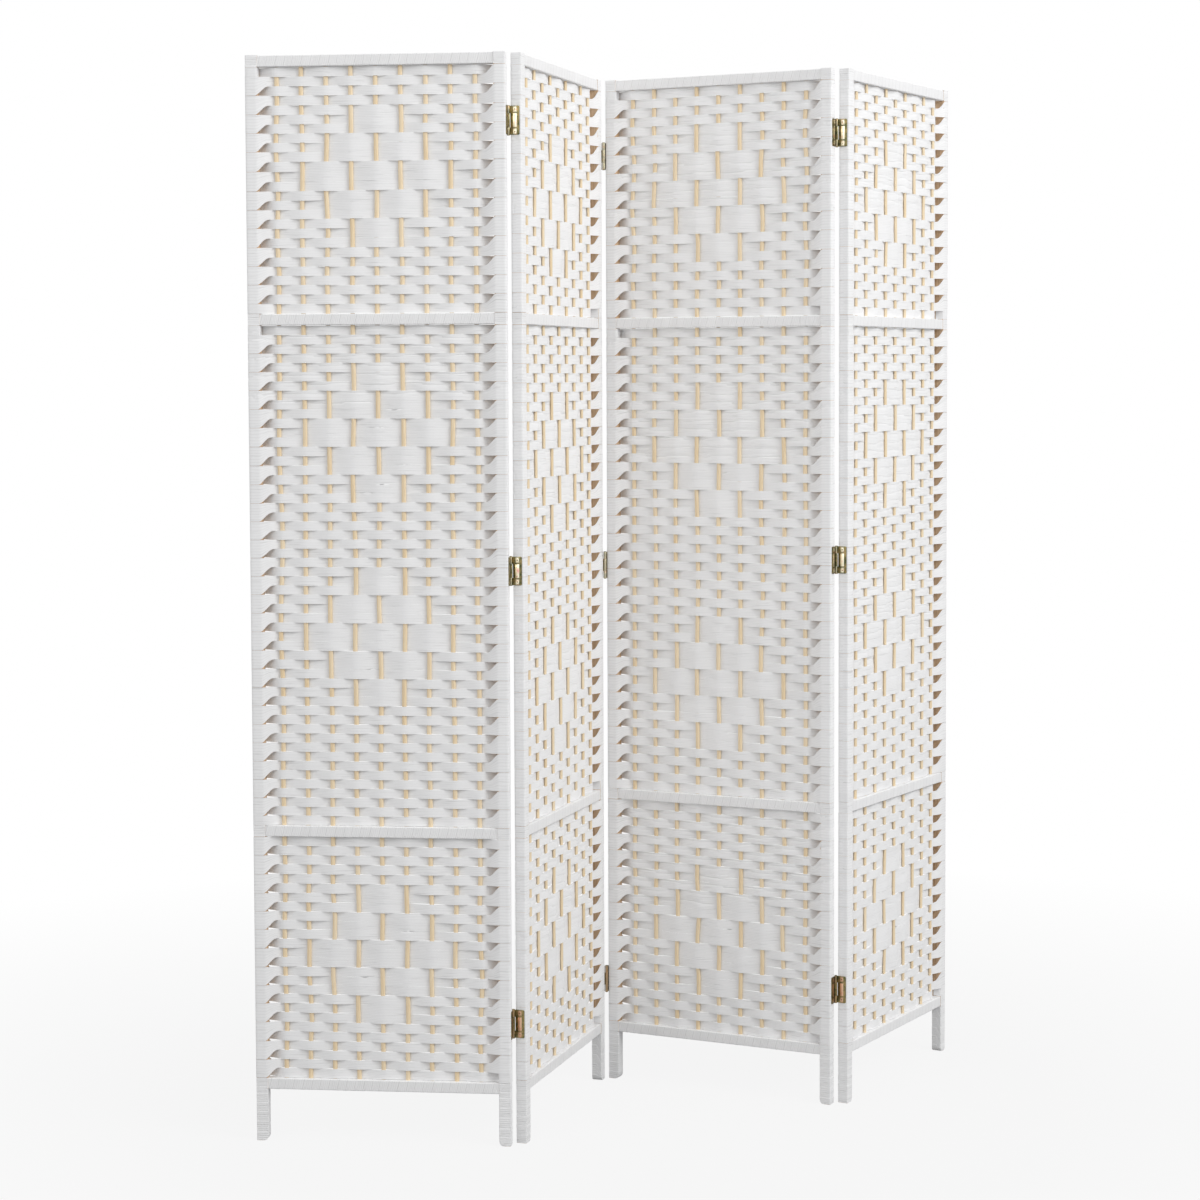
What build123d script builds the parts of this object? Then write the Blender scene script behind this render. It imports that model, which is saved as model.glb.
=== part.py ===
"""Four-panel folding screen, woven from paper bands on bamboo canes.

Each panel is a wooden frame of two posts and four rails. Nine canes stand in the rails of each of
its three sections, and one long paper band per section is woven to and fro across the canes. At
each end of a row the band goes round the post and comes back one row lower. Paper strip covers the
rails, the legs and the posts beside the rails. Butt hinges with loose pins join the panels: their
barrels are at the back, the front and the back, so the screen stands in a zigzag and folds flat.

Lengths are in millimetres and angles in degrees. Z is up, X runs along the standing row and the
front of the screen looks along -Y. The origin is on the floor, in the middle of the standing row.
"""
from build123d import *
import os
from cmath import phase, rect
from math import degrees, radians

# Panel frame
PANEL_WIDTH = 406.4  # over the bands on its posts
POST_WIDTH = 17.6
POST_DEPTH = 16.0
RAIL_HEIGHT = 16.0
RAIL_DEPTH = 14.0
TENON_DIAMETER = 8.0
TENON_LENGTH = 12.0
TENON_FIT = 0.1  # radial, and at the end of the tenon
FOOT_ROUNDING = 8.0
LEG_HEIGHT = 82.0  # floor to the underside of the bottom rail's paper
SECTION_HEIGHTS = {"bottom": 384.0, "middle": 782.0, "top": 380.0}  # between the rails' paper

# Paper strip on rails, legs and post ends
WRAP_THICKNESS = 0.8
WRAP_FIT = 0.2
WRAP_END_GAP = 0.3
FOOT_BARE = 0.5  # bare wood under the strip on each leg

# Canes
CANE_COUNT = 9
CANE_DIAMETER = 7.0
EDGE_CANE_DISTANCE = 29.2  # from a post to the middle of the cane beside it
CANE_SEAT = 6.0  # depth of a cane's hole in a rail
CANE_SEAT_FIT = 0.1
CANE_END_GAP = 0.3
CANE_STRIP_FIT = 0.4  # radial, in the rail's paper

# Woven bands
BAND_THICKNESS = 1.0
BAND_FIT = 0.2  # on the posts
BAND_CANE_FIT = 0.3
ROW_GAP = 0.4
SECTION_END_GAP = 0.4
FLARE_CLEARANCE = 1.0  # between two crossing rows, where they start to widen towards the post
FLARE_START = 0.5
DIAMOND_BLOCK = 3  # rows in one step of a diamond
DIAMOND_REACH = 3  # canes on either side of the middle one, at a diamond's widest step

# The weave of each panel, from the left: per section its rows, whether its first row passes in
# front of the left post, and the middle row of each diamond, counted from 0 at the top
WEAVES = (
    {"top": (26, False, (11,)), "middle": (54, False, (11, 33)), "bottom": (26, True, (12,))},
    {"top": (25, False, (13,)), "middle": (52, True, (14, 38)), "bottom": (26, True, (12,))},
    {"top": (25, False, (11,)), "middle": (52, False, (13, 39)), "bottom": (26, True, (14,))},
    {"top": (27, False, (13,)), "middle": (54, False, (13, 35)), "bottom": (27, False, (13,))},
)

# Folds between panels, from the left: how far each is folded as the screen stands, the side of its
# barrels, and the heights of its hinges' middles above the floor
BACK = 1
FRONT = -1
REST_FOLDS = (78.0, 98.0, 85.0)
BARREL_SIDES = (BACK, FRONT, BACK)
HINGE_HEIGHTS = ((190.0, 902.0, 1597.0), (173.0, 884.0, 1574.0), (190.0, 902.0, 1597.0))
FOLD_GAP = 3.0  # between two panels when the fold is straight
PIN_OFFSET = 2.5  # from a panel's face to the pin's middle

# Hinges
HINGE_HEIGHT = 44.5
LEAF_THICKNESS = 1.0
LEAF_WIDTH = 14.7
LEAF_INSET = 0.5  # from the panel's face to the leaf's straight edge
KNUCKLE_DIAMETER = 5.0
MIDDLE_KNUCKLE = 21.1
KNUCKLE_GAP = 0.3
PIN_DIAMETER = 3.0
PIN_FIT = 0.05
PIN_HEAD_DIAMETER = 4.4
PIN_HEAD_HEIGHT = 0.8
PIN_HEAD_GAP = 0.1

# Hinge screws
SCREW_SPREAD = 34.0
SCREW_LENGTH = 12.0
SCREW_DIAMETER = 3.0
SCREW_HEAD_DIAMETER = 5.4
SCREW_HEAD_HEIGHT = 0.9
SCREW_TIP = 2.0
SCREW_TIP_DIAMETER = 0.6
SCREW_FIT = 0.05
SCREW_BAND_FIT = 0.3
SCREW_END_GAP = 0.5

LEFT = -1
RIGHT = 1
OVERRUN = 2.0  # how far a cutting body runs past what it cuts

# Places in one panel: X from its middle, Y from its mid-depth, Z from the floor
PANEL_DEPTH = POST_DEPTH + 2 * (BAND_FIT + BAND_THICKNESS)
PANEL_FACE = PANEL_DEPTH / 2
HALF_WIDTH = PANEL_WIDTH / 2
POST_OUTER = HALF_WIDTH - BAND_THICKNESS - BAND_FIT
POST_INNER = POST_OUTER - POST_WIDTH
RAIL_MARGIN = WRAP_FIT + WRAP_THICKNESS
RAIL_OVERALL = RAIL_HEIGHT + 2 * RAIL_MARGIN
MIDDLE_CANE = (CANE_COUNT + 1) / 2
CANE_PITCH = 2 * (POST_INNER - EDGE_CANE_DISTANCE) / (CANE_COUNT - 1)
LEAF_EDGE = PANEL_FACE - LEAF_INSET
LEAF_FACE = HALF_WIDTH + LEAF_THICKNESS
PIN_X = HALF_WIDTH + FOLD_GAP / 2
PIN_Y = PANEL_FACE + PIN_OFFSET
MIDDLE_KNUCKLES = ((-MIDDLE_KNUCKLE / 2, MIDDLE_KNUCKLE / 2),)
END_KNUCKLES = (
    (-HINGE_HEIGHT / 2, -MIDDLE_KNUCKLE / 2 - KNUCKLE_GAP),
    (MIDDLE_KNUCKLE / 2 + KNUCKLE_GAP, HINGE_HEIGHT / 2),
)

# Middle line of a band at a post, for a post on the right
BAND_AT_CANE = CANE_DIAMETER / 2 + BAND_CANE_FIT + BAND_THICKNESS / 2
BAND_AT_POST = POST_DEPTH / 2 + BAND_FIT + BAND_THICKNESS / 2
BAND_OUTSIDE = POST_OUTER + BAND_FIT + BAND_THICKNESS / 2
BAND_TURN = POST_INNER - BAND_THICKNESS / 2


def cane_x(cane):
    """Place of a cane across the panel, counted from 1 at the left."""
    return (cane - MIDDLE_CANE) * CANE_PITCH


def rail_levels():
    """Height of each rail's underside, over its paper, from the bottom rail up."""
    levels = [LEG_HEIGHT]
    for height in SECTION_HEIGHTS.values():
        levels.append(levels[-1] + RAIL_OVERALL + height)
    return dict(zip(("bottom", "lower", "upper", "top"), levels))


RAIL_LEVELS = rail_levels()
PANEL_HEIGHT = RAIL_LEVELS["top"] + RAIL_OVERALL
SECTION_FLOORS = dict(zip(SECTION_HEIGHTS, [level + RAIL_OVERALL for level in RAIL_LEVELS.values()]))


def box(x_range, y_range, z_range):
    """Box between the given limits, which may be in either order."""
    low = [min(pair) for pair in (x_range, y_range, z_range)]
    size = [abs(pair[1] - pair[0]) for pair in (x_range, y_range, z_range)]
    return Solid.make_box(*size, Plane(origin=low))


def rod(diameter, start, direction, length):
    """Round bar from a start point along a direction."""
    return Solid.make_cylinder(diameter / 2, length, Plane(origin=start, z_dir=direction))


def taper(diameters, start, direction, length):
    """Round cone from its start diameter to its end diameter."""
    plane = Plane(origin=start, z_dir=direction)
    return Solid.make_cone(diameters[0] / 2, diameters[1] / 2, length, plane)


def joined(pieces):
    """One solid from pieces that touch or overlap."""
    return pieces[0].fuse(*pieces[1:]).solids()[0]


def cut(body, tools):
    """The body with the tools taken away."""
    return body.cut(*tools).solids()[0] if tools else body


# Upright strips that follow a path in plan


def strip_outline(path, thickness):
    """Corners of an evenly thick strip seen from above; the path is a list of complex numbers."""
    steps = [(end - start) / abs(end - start) for start, end in zip(path, path[1:])]
    left, right = [], []
    for index, point in enumerate(path):
        before = steps[max(index - 1, 0)]
        after = steps[min(index, len(steps) - 1)]
        straight_on = abs(before - after) < 1e-9
        if straight_on and 0 < index < len(steps):
            continue
        both = before + after
        offset = 1j * both * thickness / abs(both) ** 2
        left.append(point + offset)
        right.append(point - offset)
    return left + right[::-1]


def strip(path, thickness, z_range):
    """Upright strip along a path in plan, between two heights."""
    low, high = z_range
    corners = [(point.real, point.imag, low) for point in strip_outline(path, thickness)]
    return Solid.extrude(Face(Wire.make_polygon(corners)), Vector(0, 0, high - low))


def level_prism(corners, y_range):
    """Prism along Y whose outline is given in X and Z."""
    low, high = min(y_range), max(y_range)
    outline = Wire.make_polygon([(x, low, z) for x, z in corners])
    return Solid.extrude(Face(outline), Vector(0, high - low, 0))


# Wooden frame


def panel_hinges(panel):
    """Edge, barrel side and heights of the hinges on one panel."""
    hinges = []
    if panel > 0:
        hinges.append((LEFT, BARREL_SIDES[panel - 1], HINGE_HEIGHTS[panel - 1]))
    if panel < len(REST_FOLDS):
        hinges.append((RIGHT, BARREL_SIDES[panel], HINGE_HEIGHTS[panel]))
    return hinges


def screw_places(panel, edge):
    """Depth and height of each hinge screw in one post of a panel."""
    places = []
    for hinge_edge, side, heights in panel_hinges(panel):
        if hinge_edge == edge:
            depth = side * (LEAF_EDGE - LEAF_WIDTH / 2)
            places += [(depth, z + end * SCREW_SPREAD / 2) for z in heights for end in (-1, 1)]
    return places


def post_body(edge, margin, top):
    """Body of a post up to a height, grown by a margin all round, with its foot's inner edge rounded."""
    depth = POST_DEPTH / 2 + margin
    x_range = (edge * (POST_INNER - margin), edge * (POST_OUTER + margin))
    body = box(x_range, (-depth, depth), (-margin, top))
    foot_edges = body.edges().filter_by(Axis.Y).sort_by(Axis.Z)[:2]
    inner_edge = min(foot_edges, key=lambda line: abs(line.center().X))
    return body.fillet(FOOT_ROUNDING + margin, [inner_edge])


def make_post(panel, edge):
    """Post with a rounded foot, holes for the rails' tenons and pilot holes for hinge screws."""
    body = post_body(edge, 0, PANEL_HEIGHT)
    holes = []
    for level in RAIL_LEVELS.values():
        mouth = (edge * POST_INNER, 0, level + RAIL_OVERALL / 2)
        holes.append(rod(TENON_DIAMETER + 2 * TENON_FIT, mouth, (edge, 0, 0), TENON_LENGTH + TENON_FIT))
    depth = SCREW_LENGTH - (LEAF_FACE - POST_OUTER) + SCREW_END_GAP
    for y, z in screw_places(panel, edge):
        mouth = (edge * POST_OUTER, y, z)
        holes.append(rod(SCREW_DIAMETER + 2 * SCREW_FIT, mouth, (-edge, 0, 0), depth))
    return cut(body, holes)


def cane_holes(level, diameter, depth, name):
    """Holes for the canes above and below one rail, from its paper's faces inwards."""
    faces = []
    if name != "top":
        faces.append((level + RAIL_OVERALL, -1))
    if name != "bottom":
        faces.append((level, 1))
    holes = []
    for face, inwards in faces:
        for cane in range(1, CANE_COUNT + 1):
            start = (cane_x(cane), 0, face - inwards * OVERRUN)
            holes.append(rod(diameter, start, (0, 0, inwards), depth + OVERRUN))
    return holes


def make_rail(name):
    """Rail with a round tenon at each end and a hole for each cane."""
    level = RAIL_LEVELS[name]
    z_range = (level + RAIL_MARGIN, level + RAIL_MARGIN + RAIL_HEIGHT)
    body = box((-POST_INNER, POST_INNER), (-RAIL_DEPTH / 2, RAIL_DEPTH / 2), z_range)
    length = 2 * (POST_INNER + TENON_LENGTH)
    tenons = rod(TENON_DIAMETER, (-length / 2, 0, level + RAIL_OVERALL / 2), (1, 0, 0), length)
    holes = cane_holes(level, CANE_DIAMETER + 2 * CANE_SEAT_FIT, RAIL_MARGIN + CANE_SEAT, name)
    return cut(joined([body, tenons]), holes)


def make_rail_wrap(name):
    """Square tube of paper strip round a rail, with a hole for each cane."""
    level = RAIL_LEVELS[name]
    length = POST_INNER - WRAP_END_GAP
    depth = RAIL_DEPTH / 2 + RAIL_MARGIN
    outside = box((-length, length), (-depth, depth), (level, level + RAIL_OVERALL))
    hollow = box(
        (-POST_INNER, POST_INNER),
        (WRAP_THICKNESS - depth, depth - WRAP_THICKNESS),
        (level + WRAP_THICKNESS, level + RAIL_OVERALL - WRAP_THICKNESS),
    )
    holes = cane_holes(level, CANE_DIAMETER + 2 * CANE_STRIP_FIT, RAIL_MARGIN, name)
    return cut(outside, [hollow] + holes)


def make_post_wraps(edge):
    """Paper strip on one post: beside each rail on three sides, and all round the leg."""
    offset = WRAP_FIT + WRAP_THICKNESS / 2
    y = POST_DEPTH / 2 + offset
    inner, outer = edge * POST_INNER, edge * (POST_OUTER + offset)
    path = [complex(inner, -y), complex(outer, -y), complex(outer, y), complex(inner, y)]
    wraps = [strip(path, WRAP_THICKNESS, (z, z + RAIL_OVERALL)) for z in RAIL_LEVELS.values()]
    top = LEG_HEIGHT - WRAP_END_GAP
    outside, hollow = [post_body(edge, margin, top) for margin in (RAIL_MARGIN, WRAP_FIT)]
    below = box((0, edge * PANEL_WIDTH), (-POST_DEPTH, POST_DEPTH), (-RAIL_MARGIN - OVERRUN, FOOT_BARE))
    return wraps + [cut(outside, [hollow, below])]


def make_canes(section):
    """Canes of one section, seated in the rails above and below."""
    sunk = RAIL_MARGIN + CANE_SEAT - CANE_END_GAP
    low = SECTION_FLOORS[section] - sunk
    length = SECTION_HEIGHTS[section] + 2 * sunk
    places = [(cane_x(cane), 0, low) for cane in range(1, CANE_COUNT + 1)]
    return [rod(CANE_DIAMETER, place, (0, 0, 1), length) for place in places]


# Woven bands


def band_side(row, cane, starts_in_front, diamonds):
    """BACK where the band passes behind a cane, so that the cane shows, and FRONT elsewhere."""
    shows = (row + cane + starts_in_front) % 2 == 0
    for middle in diamonds:
        step, between = divmod(abs(row - middle), DIAMOND_BLOCK)
        inside = abs(cane - MIDDLE_CANE) <= DIAMOND_REACH - step and 1 < cane < CANE_COUNT
        if between == 0 and step < DIAMOND_REACH and inside:
            shows = not shows
    return BACK if shows else FRONT


def post_leg(side):
    """Where a row leaves the last cane, widens and turns, on its way to a side of a right post."""
    leave = complex(cane_x(CANE_COUNT) + CANE_DIAMETER / 2, -side * BAND_AT_CANE)
    turn = complex(BAND_TURN, side * BAND_AT_POST)
    direction = (turn - leave) / abs(turn - leave)
    crossing = leave + (turn - leave) * BAND_AT_CANE / (BAND_AT_CANE + BAND_AT_POST)
    slope = abs(direction.imag) / direction.real
    return leave, crossing + direction * (BAND_THICKNESS / 2 / slope + FLARE_CLEARANCE), turn


def to_edge(points, edge):
    """Points of a right post's strip, for the given edge."""
    return [complex(edge * point.real, point.imag) for point in points]


def make_row(sides, z_range):
    """One row between the places where it widens at the two posts; sides has one entry per cane."""
    path = to_edge([post_leg(-sides[0])[1]], LEFT)
    for cane, side in enumerate(sides, 1):
        for end in (-1, 1):
            path.append(complex(cane_x(cane) + end * CANE_DIAMETER / 2, side * BAND_AT_CANE))
    path.append(post_leg(-sides[-1])[1])
    return strip(path, BAND_THICKNESS, z_range)


def make_turn(edge, upper, pitch):
    """Band round a post from a row on side upper to the next row down, about the line between them."""
    lower = -upper
    _, flare, turn = post_leg(upper)
    path = [flare, turn, complex(BAND_OUTSIDE, upper * BAND_AT_POST)]
    path += [point.conjugate() for point in reversed(path)]
    reach = pitch - ROW_GAP / 2
    body = strip(to_edge(path, edge), BAND_THICKNESS, (-reach, reach))
    cuts = []
    for side, up in ((upper, 1), (lower, -1)):
        corners = [
            (flare.real - OVERRUN, up * ROW_GAP / 2),
            (flare.real + FLARE_START, up * ROW_GAP / 2),
            (turn.real, -up * reach),
            (turn.real, -up * (reach + OVERRUN)),
            (flare.real - OVERRUN, -up * (reach + OVERRUN)),
        ]
        y_range = (0, side * (BAND_AT_POST + OVERRUN))
        cuts.append(level_prism([(edge * x, z) for x, z in corners], y_range))
    return cut(body, cuts)


def make_end(edge, side, z_range):
    """End of the band, tucked round a post from a row on the given side."""
    _, flare, turn = post_leg(side)
    path = [flare, turn, complex(BAND_OUTSIDE, side * BAND_AT_POST)]
    path += [complex(BAND_OUTSIDE, -side * BAND_AT_POST), complex(POST_INNER, -side * BAND_AT_POST)]
    return strip(to_edge(path, edge), BAND_THICKNESS, z_range)


def pierced(body, edge, places, z_range):
    """The band round a post with a hole for each hinge screw between two heights."""
    holes = []
    radius = SCREW_DIAMETER / 2 + SCREW_BAND_FIT
    for y, z in places:
        if z_range[0] - radius < z < z_range[1] + radius:
            holes.append(rod(2 * radius, (edge * (POST_OUTER - OVERRUN), y, z), (edge, 0, 0), 3 * OVERRUN))
    return cut(body, holes)


def make_weave(panel, section):
    """The band of one section: all its rows and its turns round the posts, in one solid."""
    rows, starts_in_front, diamonds = WEAVES[panel][section]
    floor = SECTION_FLOORS[section] + SECTION_END_GAP
    pitch = (SECTION_HEIGHTS[section] - 2 * SECTION_END_GAP) / rows
    tops = [floor + (rows - row) * pitch for row in range(rows)]
    sides = [
        [band_side(row, cane, starts_in_front, diamonds) for cane in range(1, CANE_COUNT + 1)]
        for row in range(rows)
    ]
    pieces = []
    for top, row_sides in zip(tops, sides):
        pieces.append(make_row(row_sides, (top - pitch + ROW_GAP / 2, top - ROW_GAP / 2)))
    for edge, first_upper, column in ((LEFT, FRONT, 0), (RIGHT, BACK, -1)):
        places = screw_places(panel, edge)
        at_post = [-row_sides[column] for row_sides in sides]
        turns = {side: make_turn(edge, side, pitch) for side in (BACK, FRONT)}
        row = 0
        while row < rows:
            goes_on = (row + starts_in_front) % 2 == (1 if edge == LEFT else 0)
            last = row + (2 if goes_on and row + 1 < rows else 1)
            z_range = (tops[row] - (last - row) * pitch + ROW_GAP / 2, tops[row] - ROW_GAP / 2)
            if last - row == 2:
                piece = turns[at_post[row]].moved(Location((0, 0, tops[row] - pitch)))
            else:
                piece = make_end(edge, at_post[row], z_range)
            pieces.append(pierced(piece, edge, places, z_range))
            row = last
    return joined(pieces)


# Hinges between two panels, in the frame of the panel that carries each leaf


def make_leaf(edge, side, height, knuckles):
    """Leaf on a panel's edge, with its knuckles round the pin and countersunk screw holes."""
    outer_face = edge * LEAF_FACE
    x_range = (edge * HALF_WIDTH, outer_face)
    half = HINGE_HEIGHT / 2
    y_range = (side * LEAF_EDGE, side * (LEAF_EDGE - LEAF_WIDTH))
    pieces = [box(x_range, y_range, (height - half, height + half))]
    for low, high in knuckles:
        pieces.append(box(x_range, (side * LEAF_EDGE, side * PIN_Y), (height + low, height + high)))
        start = (edge * PIN_X, side * PIN_Y, height + low)
        pieces.append(rod(KNUCKLE_DIAMETER, start, (0, 0, 1), high - low))
    start = (edge * PIN_X, side * PIN_Y, height - half - OVERRUN)
    holes = [rod(PIN_DIAMETER + 2 * PIN_FIT, start, (0, 0, 1), HINGE_HEIGHT + 2 * OVERRUN)]
    for end in (-1, 1):
        start = (outer_face, side * (LEAF_EDGE - LEAF_WIDTH / 2), height + end * SCREW_SPREAD / 2)
        diameters = (SCREW_HEAD_DIAMETER + 2 * SCREW_FIT, SCREW_DIAMETER + 2 * SCREW_FIT)
        holes.append(taper(diameters, start, (-edge, 0, 0), SCREW_HEAD_HEIGHT))
        holes.append(rod(diameters[1], start, (-edge, 0, 0), LEAF_THICKNESS + OVERRUN))
    return cut(joined(pieces), holes)


def make_pin(edge, side, height):
    """Pin through the knuckles of one hinge, with a flat head at each end."""
    x, y = edge * PIN_X, side * PIN_Y
    length = HINGE_HEIGHT + 2 * PIN_HEAD_GAP
    bottom = height - length / 2
    shank = rod(PIN_DIAMETER, (x, y, bottom), (0, 0, 1), length)
    lower_head = rod(PIN_HEAD_DIAMETER, (x, y, bottom), (0, 0, -1), PIN_HEAD_HEIGHT)
    upper_head = rod(PIN_HEAD_DIAMETER, (x, y, bottom + length), (0, 0, 1), PIN_HEAD_HEIGHT)
    return joined([shank, lower_head, upper_head])


def make_screw(edge, y, z):
    """Countersunk screw through a leaf and the band into the post."""
    inwards = (-edge, 0, 0)
    neck = edge * (LEAF_FACE - SCREW_HEAD_HEIGHT)
    tip = edge * (LEAF_FACE - SCREW_LENGTH + SCREW_TIP)
    head = taper((SCREW_HEAD_DIAMETER, SCREW_DIAMETER), (edge * LEAF_FACE, y, z), inwards, SCREW_HEAD_HEIGHT)
    shank = rod(SCREW_DIAMETER, (neck, y, z), inwards, abs(neck - tip))
    point = taper((SCREW_DIAMETER, SCREW_TIP_DIAMETER), (tip, y, z), inwards, SCREW_TIP)
    return joined([head, shank, point])


# The standing row


def panel_places():
    """Place in plan and heading of each panel's middle, with the row along X and centred."""
    headings, middles = [0.0], [0j]
    for fold, side in zip(REST_FOLDS, BARREL_SIDES):
        pin = middles[-1] + rect(1, headings[-1]) * complex(PIN_X, side * PIN_Y)
        headings.append(headings[-1] + side * radians(fold))
        middles.append(pin - rect(1, headings[-1]) * complex(-PIN_X, side * PIN_Y))
    start = middles[0] - HALF_WIDTH
    end = middles[-1] + rect(HALF_WIDTH, headings[-1])
    turn = -phase(end - start)
    headings = [heading + turn for heading in headings]
    middles = [middle * rect(1, turn) for middle in middles]
    corners = [
        middle + rect(1, heading) * complex(across * HALF_WIDTH, deep * PANEL_FACE)
        for middle, heading in zip(middles, headings)
        for across in (-1, 1)
        for deep in (-1, 1)
    ]
    across, deep = [corner.real for corner in corners], [corner.imag for corner in corners]
    centre = complex(min(across) + max(across), min(deep) + max(deep)) / 2
    return [(middle - centre, heading) for middle, heading in zip(middles, headings)]


def write(node, pieces, panel):
    """Put the pieces of one node in their panel's place and write them."""
    middle, heading = PLACES[panel]
    place = Location((middle.real, middle.imag, 0), (0, 0, degrees(heading)))
    placed = [piece.moved(place) for piece in pieces]
    whole = placed[0] if len(placed) == 1 else Compound(placed)
    export_step(whole, f"parts/{node}.step", write_pcurves=False)


PLACES = panel_places()
os.makedirs("parts", exist_ok=True)

RAILS = {name: make_rail(name) for name in RAIL_LEVELS}
CANES = [cane for section in SECTION_HEIGHTS for cane in make_canes(section)]
WRAPS = [make_rail_wrap(name) for name in RAIL_LEVELS] + make_post_wraps(LEFT) + make_post_wraps(RIGHT)

for number in range(len(WEAVES)):
    prefix = f"panel_{number + 1}"
    write(f"{prefix}_left_post", [make_post(number, LEFT)], number)
    write(f"{prefix}_right_post", [make_post(number, RIGHT)], number)
    for rail_name, rail in RAILS.items():
        write(f"{prefix}_{rail_name}_rail", [rail], number)
    write(f"{prefix}_canes", CANES, number)
    write(f"{prefix}_wraps", WRAPS, number)
    for section_name in SECTION_HEIGHTS:
        write(f"{prefix}_{section_name}_weave", [make_weave(number, section_name)], number)
    screws = [make_screw(edge, y, z) for edge in (LEFT, RIGHT) for y, z in screw_places(number, edge)]
    write(f"{prefix}_hinge_screws", screws, number)

for number, (barrel_side, heights) in enumerate(zip(BARREL_SIDES, HINGE_HEIGHTS)):
    prefix = f"fold_{number + 1}_{number + 2}"
    left_leaves = [make_leaf(RIGHT, barrel_side, height, MIDDLE_KNUCKLES) for height in heights]
    right_leaves = [make_leaf(LEFT, barrel_side, height, END_KNUCKLES) for height in heights]
    pins = [make_pin(LEFT, barrel_side, height) for height in heights]
    write(f"{prefix}_left_leaves", left_leaves, number)
    write(f"{prefix}_right_leaves", right_leaves, number + 1)
    write(f"{prefix}_pins", pins, number + 1)

for number, (place, heading) in enumerate(PLACES, 1):
    print(f"panel {number}: middle {place.real:.2f}, {place.imag:.2f}, heading {degrees(heading):.2f}")
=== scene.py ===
# %% [markdown]
# # A folding screen woven from paper bands
# The screen has four wooden panels, hinged in a zigzag. Long paper bands are woven to and fro
# across round canes and go round the posts at every turn, and a narrower strip of the same paper
# is wound on the rails and the legs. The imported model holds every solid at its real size, so this
# lesson starts from it and only replaces what needs the softness of real paper.

# %% Load the frame
import math

import bmesh
import bpy
import numpy as np
from mathutils import Matrix, Vector


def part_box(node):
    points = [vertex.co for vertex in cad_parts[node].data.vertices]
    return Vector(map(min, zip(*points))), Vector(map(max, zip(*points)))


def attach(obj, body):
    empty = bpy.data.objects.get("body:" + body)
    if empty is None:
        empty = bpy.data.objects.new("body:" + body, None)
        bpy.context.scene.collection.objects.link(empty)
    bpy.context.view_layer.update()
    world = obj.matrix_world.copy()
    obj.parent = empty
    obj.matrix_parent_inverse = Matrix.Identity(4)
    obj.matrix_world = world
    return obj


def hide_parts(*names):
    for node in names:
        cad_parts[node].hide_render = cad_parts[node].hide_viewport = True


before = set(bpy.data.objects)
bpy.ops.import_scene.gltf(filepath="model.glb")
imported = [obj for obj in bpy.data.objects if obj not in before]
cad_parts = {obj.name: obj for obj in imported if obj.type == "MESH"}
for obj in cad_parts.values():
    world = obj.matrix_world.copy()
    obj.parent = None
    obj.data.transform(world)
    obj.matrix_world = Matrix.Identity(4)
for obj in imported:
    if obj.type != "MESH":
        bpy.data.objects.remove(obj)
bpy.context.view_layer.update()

bpy.ops.object.select_all(action="DESELECT")

# %% [markdown]
# ## Sizes
# Blender works in metres here. The sizes are those of the real screen, in millimetres times MM,
# and the places of the panels are read from their posts in the frame.

# %% Sizes
MM = 0.001
PANEL_WIDTH = 406.4 * MM
POST_WIDTH = 17.6 * MM
POST_DEPTH = 16.0 * MM
RAIL_HEIGHT = 16.0 * MM
RAIL_DEPTH = 14.0 * MM
PAPER_MARGIN = 1.0 * MM  # paper and its clearance, on a post or a rail
RAIL_OVERALL = RAIL_HEIGHT + 2 * PAPER_MARGIN
LEG_HEIGHT = 82.0 * MM
FOOT_ROUNDING = 8.0 * MM
FOOT_BARE = 0.5 * MM
SECTION_HEIGHTS = {"bottom": 384.0 * MM, "middle": 782.0 * MM, "top": 380.0 * MM}
CANE_COUNT = 9
CANE_RADIUS = 3.5 * MM
CANE_HALF_DEPTH = 2.1 * MM  # the weave draws in the soft bamboo, so that it shows flatter than it was
EDGE_CANE_DISTANCE = 29.2 * MM
BAND_THICKNESS = 1.0 * MM
BAND_FIT = 0.2 * MM
BAND_CANE_FIT = 0.3 * MM
SECTION_END_GAP = 0.4 * MM

HALF_WIDTH = PANEL_WIDTH / 2
POST_OUTER = HALF_WIDTH - BAND_THICKNESS - BAND_FIT
POST_INNER = POST_OUTER - POST_WIDTH
CANE_PITCH = 2 * (POST_INNER - EDGE_CANE_DISTANCE) / (CANE_COUNT - 1)
BAND_AT_CANE = CANE_HALF_DEPTH + BAND_CANE_FIT + BAND_THICKNESS / 2
BAND_AT_POST = POST_DEPTH / 2 + BAND_FIT + BAND_THICKNESS / 2
BAND_OUTSIDE = POST_OUTER + BAND_FIT + BAND_THICKNESS / 2
BACK, FRONT, LEFT, RIGHT = 1, -1, -1, 1

rail_levels, section_floors = {}, {}
level = LEG_HEIGHT
for rail, section in zip(("bottom", "lower", "upper", "top"), (*SECTION_HEIGHTS, None)):
    rail_levels[rail] = level
    if section:
        section_floors[section] = level + RAIL_OVERALL
        level += RAIL_OVERALL + SECTION_HEIGHTS[section]
PANEL_HEIGHT = rail_levels["top"] + RAIL_OVERALL
print("rails at", [round(z, 3) for z in rail_levels.values()])


def cane_x(cane):
    """Place of a cane across the panel, counted from 1 at the left."""
    return (cane - (CANE_COUNT + 1) / 2) * CANE_PITCH


def panel_place(number):
    """Matrix from a panel's own frame, with X along it, to the standing screen."""
    left, right = [
        (low + high) / 2
        for low, high in (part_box(f"panel_{number}_{side}_post") for side in ("left", "right"))
    ]
    middle, run = (left + right) / 2, right - left
    turn = Matrix.Rotation(math.atan2(run.y, run.x), 4, "Z")
    return Matrix.Translation((middle.x, middle.y, 0)) @ turn


PLACES = {number: panel_place(number) for number in range(1, 5)}


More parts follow.
